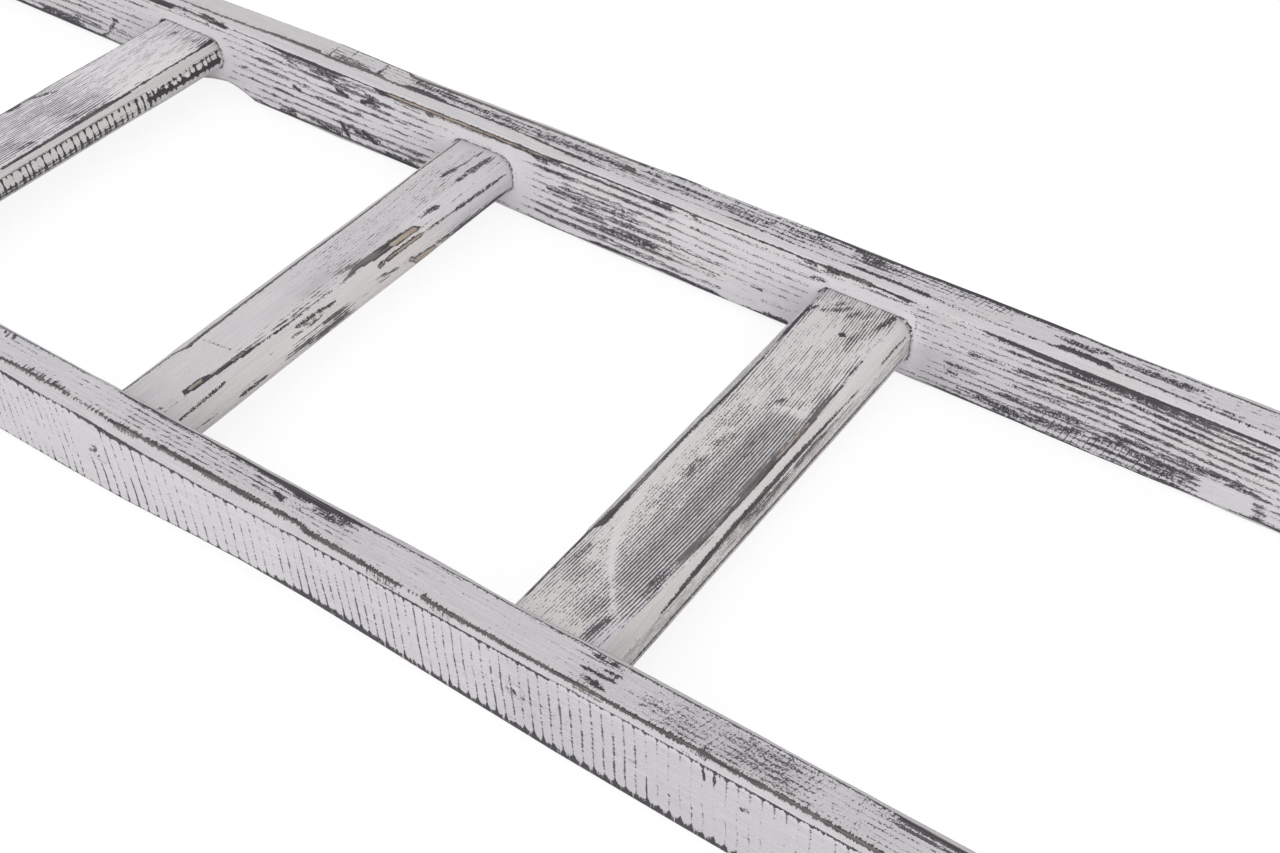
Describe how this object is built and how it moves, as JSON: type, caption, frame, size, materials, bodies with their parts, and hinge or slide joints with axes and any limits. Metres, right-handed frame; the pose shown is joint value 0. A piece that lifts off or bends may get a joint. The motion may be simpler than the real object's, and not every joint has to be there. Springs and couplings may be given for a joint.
{
  "type": "decorative ladder",
  "caption": "Rustic whitewashed wooden ladder with chamfered side rails and flat round-edged rungs, for leaning on a wall and hanging towels or blankets.",
  "frame": {"origin": "centre of the ladder's footprint as it lies on its back: midway along the rails, midway between them, at their back faces", "axes": "+X along the rails from the foot end to the top end, +Y across towards the left rail, +Z out of the front face, away from the wall it would lean on"},
  "size_m": [1.5, 0.385, 0.069],
  "materials": {
    "rail_paint": "whitewash dry-brushed over dark wax on sawn softwood, matte, with grain, saw marks and worn edges",
    "rung_paint": "whitewash rubbed back to dark wax and bare softwood, matte",
    "screw_steel": "yellow-passivated steel, satin",
    "filler": "wood filler painted over, matte"
  },
  "bodies": {
    "root": {"left_rail": "rail_paint", "right_rail": "rail_paint", "rung_1": "rung_paint", "rung_2": "rung_paint", "rung_3": "rung_paint", "rung_4": "rung_paint", "left_rail_screws": "screw_steel", "right_rail_screws": "screw_steel", "left_plug_1": "filler", "left_plug_2": "filler", "left_plug_3": "filler", "left_plug_4": "filler", "right_plug_1": "filler", "right_plug_2": "filler", "right_plug_3": "filler", "right_plug_4": "filler"}
  },
  "joints": []
}
